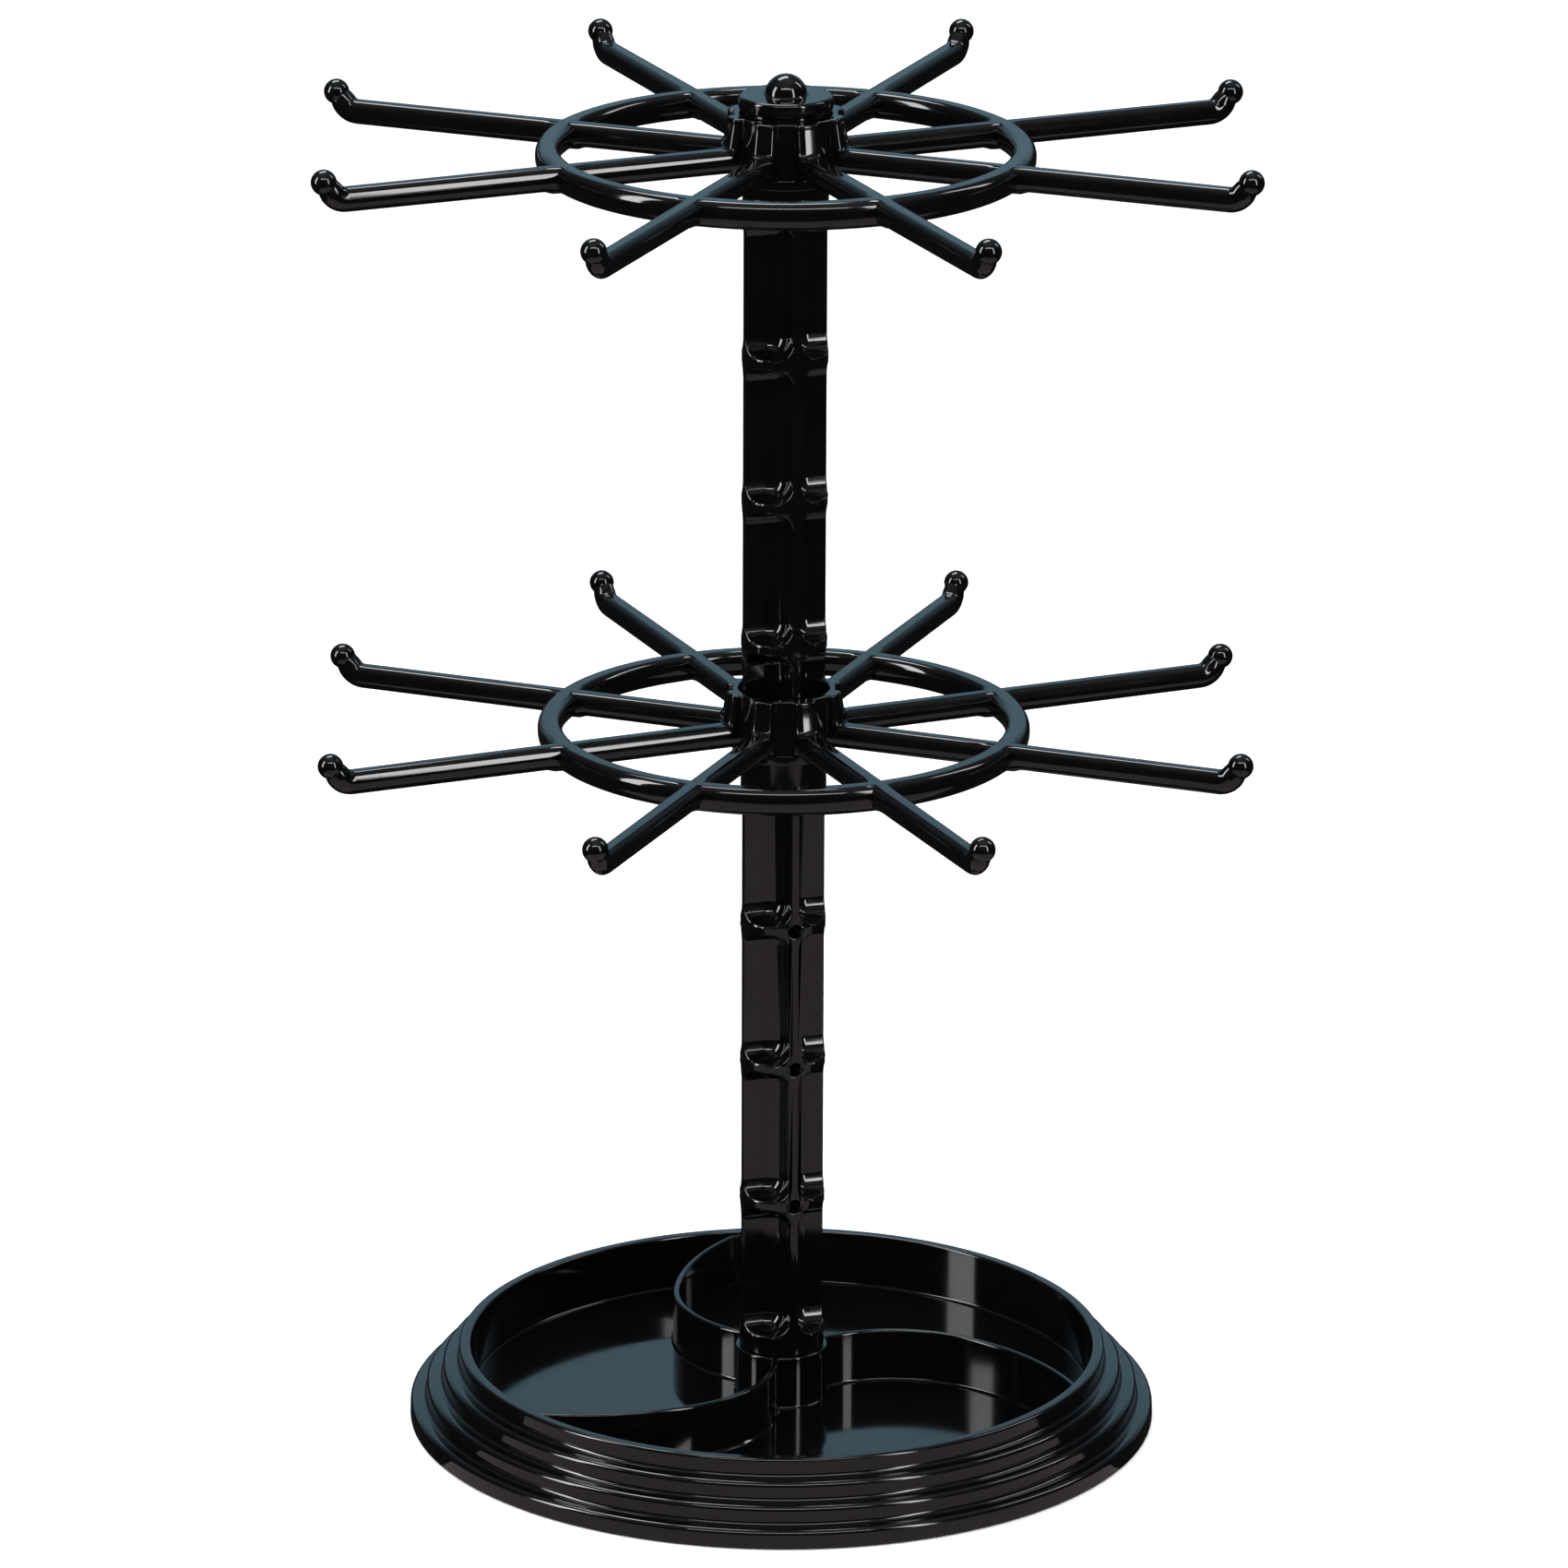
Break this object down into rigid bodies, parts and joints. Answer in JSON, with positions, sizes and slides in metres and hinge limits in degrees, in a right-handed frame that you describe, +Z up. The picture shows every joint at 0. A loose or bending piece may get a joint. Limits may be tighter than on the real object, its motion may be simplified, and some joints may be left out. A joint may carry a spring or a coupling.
{
  "type": "rotating display rack",
  "caption": "Countertop display rack: a stepped round tray base with swirl dividers, a finned column and two tiers of hooked arms that spin freely on it.",
  "frame": {"origin": "centre of the surface that the base stands on", "axes": "+Z up along the column; the camera that shows the rack's front looks along +Y, with +X to its right"},
  "size_m": [0.2316, 0.2316, 0.351],
  "materials": {
    "black_abs": "high-gloss black injection-moulded ABS",
    "zinc_steel": "bright zinc-plated steel"
  },
  "bodies": {
    "stand": {"tray_skirt": "black_abs", "tray_floor": "black_abs", "tray_socket": "black_abs", "tray_divider_1": "black_abs", "tray_divider_2": "black_abs", "tray_divider_3": "black_abs", "column_lower": "black_abs", "column_upper": "black_abs", "top_cap": "black_abs", "base_screw": "zinc_steel", "base_washer": "zinc_steel"},
    "middle_wheel": {"middle_hub": "black_abs", "middle_ring": "black_abs", "middle_arm_1": "black_abs", "middle_arm_2": "black_abs", "middle_arm_3": "black_abs", "middle_arm_4": "black_abs", "middle_arm_5": "black_abs", "middle_arm_6": "black_abs", "middle_arm_7": "black_abs", "middle_arm_8": "black_abs"},
    "top_wheel": {"top_hub": "black_abs", "top_ring": "black_abs", "top_arm_1": "black_abs", "top_arm_2": "black_abs", "top_arm_3": "black_abs", "top_arm_4": "black_abs", "top_arm_5": "black_abs", "top_arm_6": "black_abs", "top_arm_7": "black_abs", "top_arm_8": "black_abs"}
  },
  "joints": [
    {"name": "middle_wheel_spin", "type": "hinge", "parent": "stand", "child": "middle_wheel", "pos_m": [0, 0, 0.1797], "axis": [0, 0, 1], "continuous": true},
    {"name": "top_wheel_spin", "type": "hinge", "parent": "stand", "child": "top_wheel", "pos_m": [0, 0, 0.326], "axis": [0, 0, 1], "continuous": true}
  ]
}
